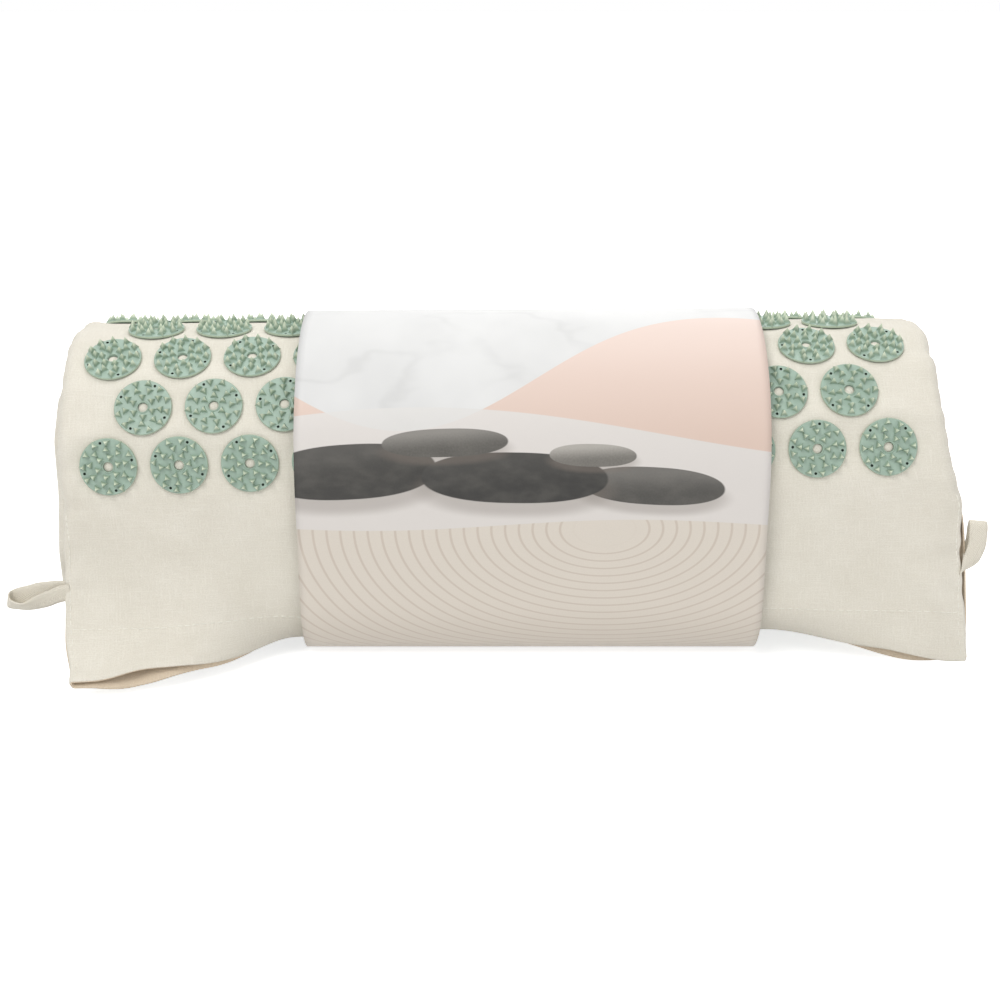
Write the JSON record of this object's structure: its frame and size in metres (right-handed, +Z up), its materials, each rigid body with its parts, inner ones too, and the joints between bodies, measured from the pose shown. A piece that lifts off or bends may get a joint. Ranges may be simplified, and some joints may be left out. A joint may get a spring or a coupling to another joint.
{
  "type": "acupressure mat",
  "caption": "Spiked acupressure mat, rolled disc side out with its hemmed mouth hanging in front, held by a card belly band.",
  "frame": {"origin": "centre of the bounding box, at floor height, under the belly band", "axes": "+X along the roll to the right, +Y away from the side with the hanging mouth, +Z up"},
  "size_m": [0.4658, 0.163, 0.161],
  "materials": {
    "linen": "plain woven linen blend, unbleached",
    "lining": "plain woven linen blend, unbleached",
    "foam": "soft open foam, matt",
    "sage_plastic": "satin moulded plastic, sage green",
    "card": "printed coated card, soft sheen",
    "webbing": "woven cotton tape",
    "closure_tape": "hook and loop tape"
  },
  "bodies": {
    "mat": {"cover_back_panel": "lining", "cover_top_panel": "linen", "disc_row01_col01": "sage_plastic", "disc_row01_col02": "sage_plastic", "disc_row01_col03": "sage_plastic", "disc_row01_col11": "sage_plastic", "disc_row01_col12": "sage_plastic", "disc_row02_col01": "sage_plastic", "disc_row02_col02": "sage_plastic", "disc_row02_col03": "sage_plastic", "disc_row02_col10": "sage_plastic", "disc_row02_col11": "sage_plastic", "disc_row03_col01": "sage_plastic", "disc_row03_col02": "sage_plastic", "disc_row03_col03": "sage_plastic", "disc_row03_col11": "sage_plastic", "disc_row03_col12": "sage_plastic", "disc_row04_col01": "sage_plastic", "disc_row04_col02": "sage_plastic", "disc_row04_col03": "sage_plastic", "disc_row04_col10": "sage_plastic", "disc_row04_col11": "sage_plastic", "foam_core": "foam", "hook_tape": "closure_tape", "loop_tape": "closure_tape"},
    "band": {"belly_band": "card"},
    "left_loop": {"hang_loop_left": "webbing"},
    "right_loop": {"hang_loop_right": "webbing"}
  },
  "joints": [
    {"name": "belly_band_slide", "type": "slide", "parent": "mat", "child": "band", "axis": [1, 0, 0], "range_m": [-0.01, 0.014]},
    {"name": "hang_loop_left_flop", "type": "hinge", "parent": "mat", "child": "left_loop", "pos_m": [-0.20331, -0.0513, 0.03548], "axis": [0, 1, 0], "range_deg": [-50, 60]},
    {"name": "hang_loop_right_flop", "type": "hinge", "parent": "mat", "child": "right_loop", "pos_m": [0.2145, -0.04617, 0.05365], "axis": [0, 1, 0], "range_deg": [-5, 100]}
  ]
}
